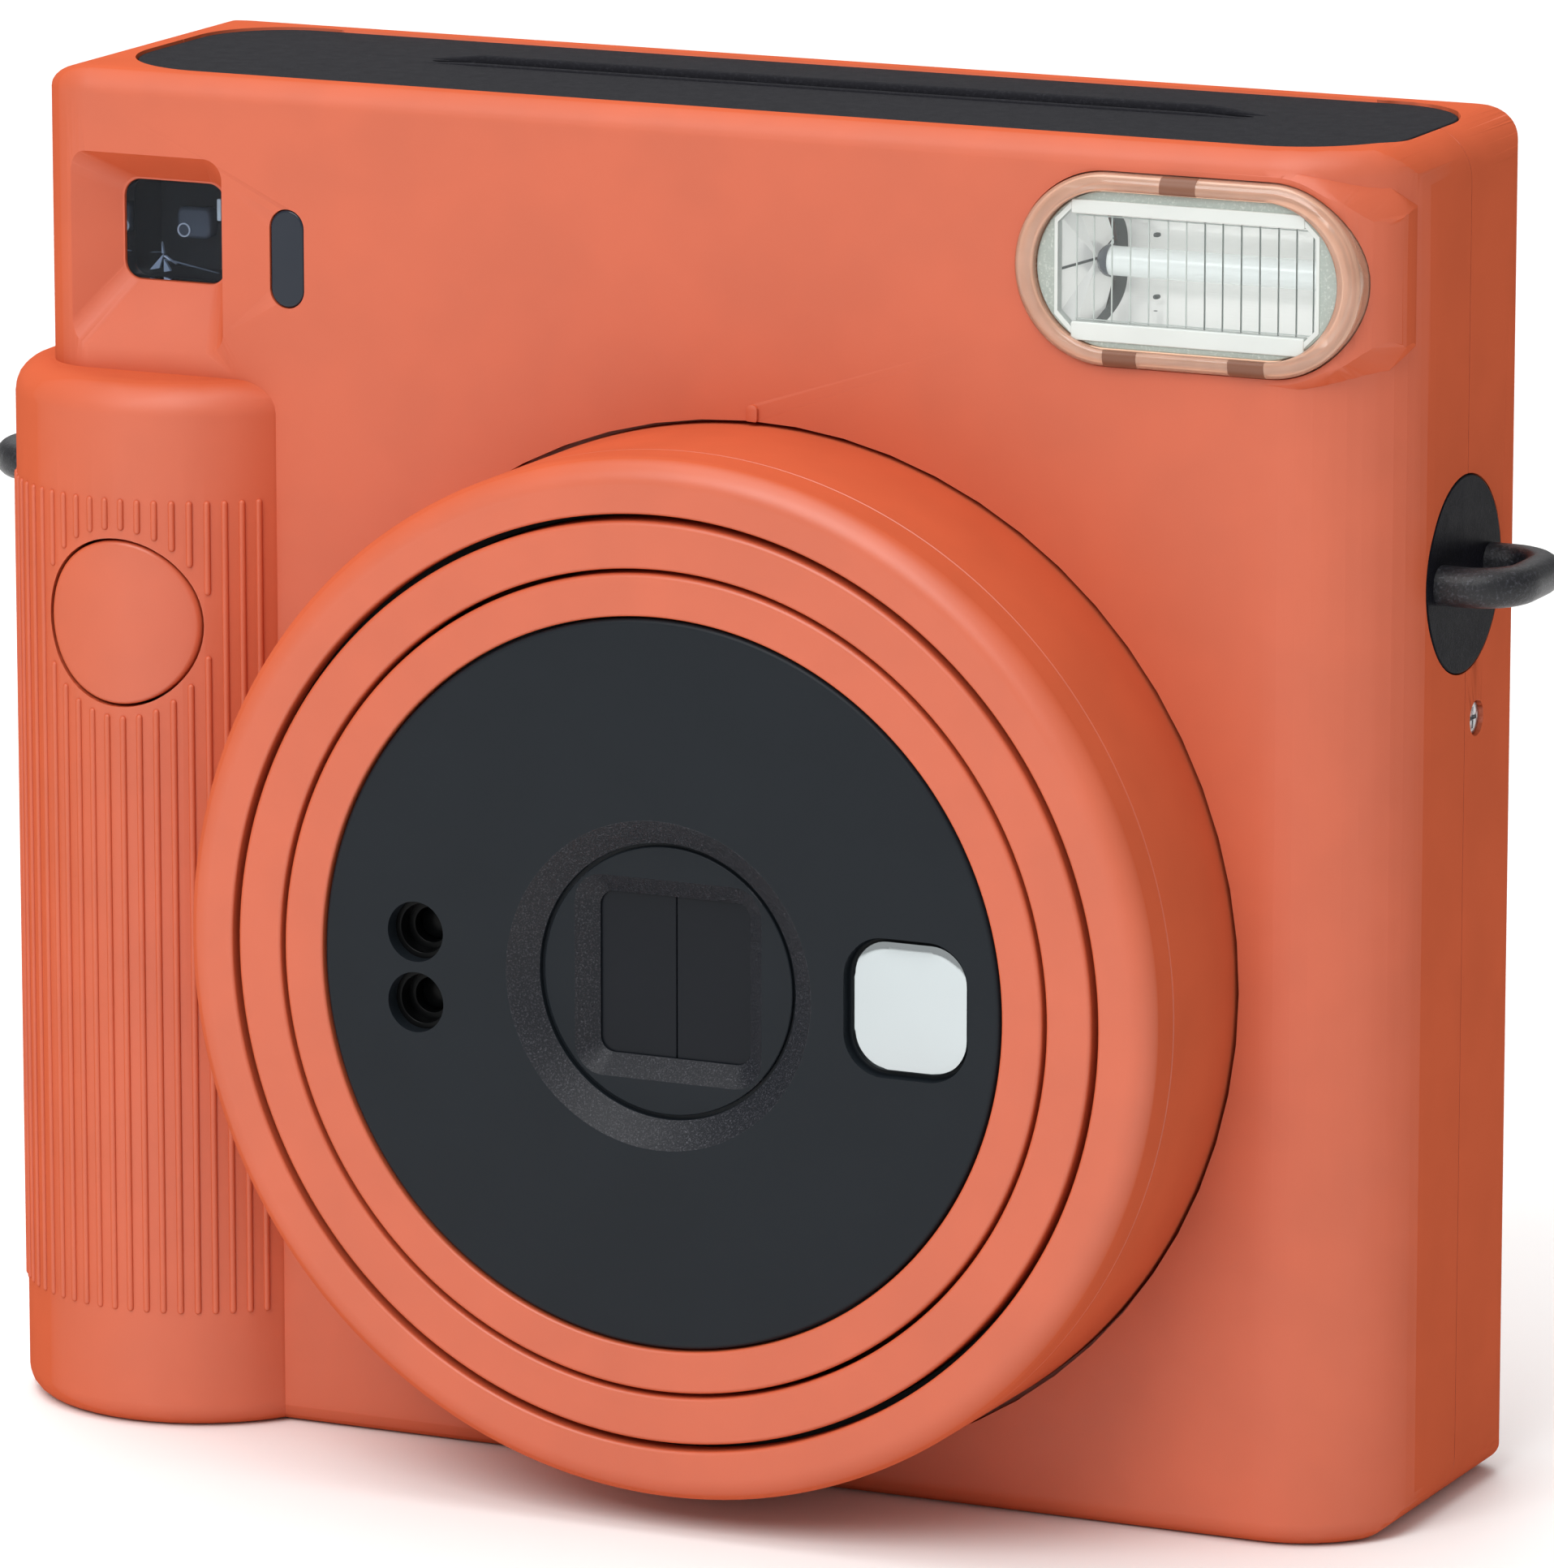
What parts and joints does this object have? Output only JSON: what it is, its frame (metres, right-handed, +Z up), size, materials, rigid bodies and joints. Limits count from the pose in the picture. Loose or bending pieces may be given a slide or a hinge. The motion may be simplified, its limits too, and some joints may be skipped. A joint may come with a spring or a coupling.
{
  "type": "instant camera",
  "caption": "Square-format instant camera with a grip, a large turning lens dial with telescoping barrels, flash, viewfinder, selfie mirror and a film door at the back",
  "frame": {"origin": "bottom centre of the whole camera, with the strap lugs", "axes": "+Z up, the lens looks along -Y, +X to the right of a person facing the lens"},
  "size_m": [0.1458, 0.0576, 0.1186],
  "materials": {
    "orange_shell": "fine moulded matte orange plastic",
    "orange_ring": "matte orange plastic, turned rings",
    "grained_black": "black plastic with a leather-like spark grain",
    "lens_black": "smooth satin black plastic",
    "inner_black": "flat black inner plastic",
    "lug_black": "satin black nylon",
    "flash_rim": "clear plastic, slightly peach from the shell behind it",
    "flash_clear": "clear ribbed plastic",
    "flash_tube_glass": "clear glass tube",
    "reflector_bright": "vacuum metallised plastic",
    "mirror_face": "polished mirror",
    "lens_glass": "coated optical plastic",
    "dark_window": "dark clear plastic",
    "smoked_window": "smoked clear plastic",
    "steel": "bright zinc-plated steel",
    "roller_steel": "ground steel",
    "gear_white": "natural acetal",
    "pinion_brass": "machined brass",
    "board_green": "solder-masked glass fibre board",
    "capacitor_sleeve": "shrink sleeve",
    "coil_brown": "varnished winding",
    "cell_wrap": "printed metal sleeve, plain",
    "contact_nickel": "nickel-plated spring steel",
    "foam": "black light-seal foam",
    "pack_black": "black polystyrene cassette",
    "amber_window": "amber clear plastic"
  },
  "bodies": {
    "camera_body": {"front_cover": "orange_shell", "rear_cover": "orange_shell", "top_panel": "grained_black", "lug_left": "lug_black", "lug_right": "lug_black", "cover_screws": "steel", "guide_sleeve": "inner_black", "light_tunnel": "inner_black", "film_gate": "inner_black", "film_chamber": "inner_black", "film_pack": "pack_black", "flash_bezel": "flash_rim", "flash_window": "flash_clear", "flash_reflector": "reflector_bright", "flash_tube": "flash_tube_glass", "flash_capacitor": "capacitor_sleeve", "trigger_coil": "coil_brown", "main_board": "board_green", "viewfinder_lens": "dark_window", "viewfinder_tunnel": "inner_black", "eyepiece_frame": "lens_black", "eyepiece_lens": "dark_window", "light_sensor_window": "smoked_window", "battery_holder": "inner_black", "battery_contacts": "contact_nickel", "upper_battery": "cell_wrap", "lower_battery": "cell_wrap", "battery_door_pin": "steel", "shutter_switch": "contact_nickel", "roller_frame": "steel", "film_motor": "steel", "hinge_pin": "steel"},
    "lens_dial": {"lens_dial": "orange_ring"},
    "outer_barrel": {"outer_barrel": "orange_ring", "cam_pins": "steel"},
    "inner_barrel": {"inner_barrel": "orange_ring", "face_disc": "lens_black", "selfie_mirror": "mirror_face", "sensor_lenses": "dark_window", "lens_mount": "inner_black", "front_lens": "lens_glass", "rear_lens": "lens_glass", "shutter_block": "inner_black"},
    "barrier_left": {"barrier_left": "lens_black"},
    "barrier_right": {"barrier_right": "lens_black"},
    "shutter_button": {"shutter_button": "orange_ring"},
    "front_roller": {"front_roller": "roller_steel", "front_roller_gear": "gear_white"},
    "rear_roller": {"rear_roller": "roller_steel", "rear_roller_gear": "gear_white"},
    "idler_gear": {"idler_gear": "gear_white"},
    "motor_pinion": {"motor_pinion": "pinion_brass"},
    "film_door": {"film_door": "orange_shell", "door_window": "amber_window", "door_springs": "contact_nickel", "door_seal": "foam"},
    "door_latch": {"door_latch": "lens_black"},
    "battery_door": {"battery_door": "orange_shell"}
  },
  "joints": [
    {"name": "dial_turn", "type": "hinge", "parent": "camera_body", "child": "lens_dial", "pos_m": [0.0078, -0.02055, 0.0476], "axis": [0, -1, 0], "range_deg": [0, 90]},
    {"name": "outer_barrel_slide", "type": "slide", "parent": "camera_body", "child": "outer_barrel", "axis": [0, -1, 0], "range_m": [0, 0.008]},
    {"name": "inner_barrel_slide", "type": "slide", "parent": "outer_barrel", "child": "inner_barrel", "axis": [0, -1, 0], "range_m": [0, 0.008]},
    {"name": "barrier_left_slide", "type": "slide", "parent": "inner_barrel", "child": "barrier_left", "axis": [-1, 0, 0], "range_m": [0, 0.0074]},
    {"name": "barrier_right_slide", "type": "slide", "parent": "inner_barrel", "child": "barrier_right", "axis": [1, 0, 0], "range_m": [0, 0.0074]},
    {"name": "button_press", "type": "slide", "parent": "camera_body", "child": "shutter_button", "axis": [0, 1, 0], "range_m": [0, 0.0012], "stiffness_N_per_m": 600, "springref_m": -0.0005},
    {"name": "front_roller_turn", "type": "hinge", "parent": "camera_body", "child": "front_roller", "pos_m": [0.0078, 0.00515, 0.1093], "axis": [1, 0, 0], "continuous": true},
    {"name": "rear_roller_turn", "type": "hinge", "parent": "camera_body", "child": "rear_roller", "pos_m": [0.0078, 0.01175, 0.1093], "axis": [1, 0, 0], "continuous": true},
    {"name": "idler_turn", "type": "hinge", "parent": "camera_body", "child": "idler_gear", "pos_m": [0.0528, 0.00515, 0.0994], "axis": [1, 0, 0], "continuous": true},
    {"name": "pinion_turn", "type": "hinge", "parent": "camera_body", "child": "motor_pinion", "pos_m": [0.0528, 0.00515, 0.09005], "axis": [1, 0, 0], "continuous": true},
    {"name": "film_door_swing", "type": "hinge", "parent": "camera_body", "child": "film_door", "pos_m": [0.0592, 0.02445, 0.06], "axis": [0, 0, -1], "range_deg": [0, 95]},
    {"name": "latch_slide", "type": "slide", "parent": "camera_body", "child": "door_latch", "axis": [-1, 0, 0], "range_m": [0, 0.003], "stiffness_N_per_m": 300, "springref_m": -0.0005},
    {"name": "battery_door_swing", "type": "hinge", "parent": "camera_body", "child": "battery_door", "pos_m": [-0.06565, 0.01355, 0.036], "axis": [0, 0, -1], "range_deg": [0, 95]}
  ],
  "couplings": [
    {"joint": "outer_barrel_slide", "follows": "dial_turn", "m_per_rad": 0.005093},
    {"joint": "inner_barrel_slide", "follows": "dial_turn", "m_per_rad": 0.005093},
    {"joint": "barrier_left_slide", "follows": "dial_turn", "m_per_rad": 0.004711},
    {"joint": "barrier_right_slide", "follows": "dial_turn", "m_per_rad": 0.004711},
    {"joint": "rear_roller_turn", "follows": "front_roller_turn", "ratio": -1},
    {"joint": "idler_turn", "follows": "front_roller_turn", "ratio": -0.5},
    {"joint": "pinion_turn", "follows": "front_roller_turn", "ratio": 1.2}
  ]
}
